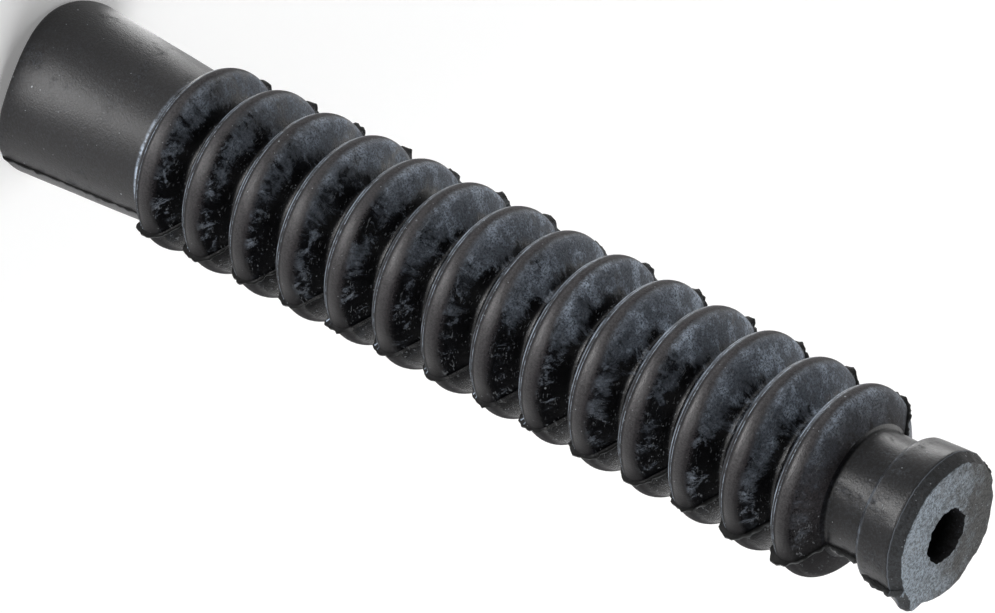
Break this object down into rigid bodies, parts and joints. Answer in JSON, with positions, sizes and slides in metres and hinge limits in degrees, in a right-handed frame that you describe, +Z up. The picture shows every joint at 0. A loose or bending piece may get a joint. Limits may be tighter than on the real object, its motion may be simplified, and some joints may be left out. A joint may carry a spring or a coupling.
{
  "type": "brake cable rubber boot",
  "caption": "Ribbed bellows boot of moulded rubber with a wide sleeve at one end and a collar that grips a brake cable at the other.",
  "frame": {"origin": "centre of the mouth's rim, on the surface that the boot stands on", "axes": "+Z up the boot's axis from the mouth to the cable end, X in the plane where the two mould halves met"},
  "size_m": [0.0198, 0.019, 0.1094],
  "materials": {
    "black_rubber": "satin, with grey bloom between the ribs"
  },
  "bodies": {
    "root": {"bellows_boot": "black_rubber"}
  },
  "joints": []
}
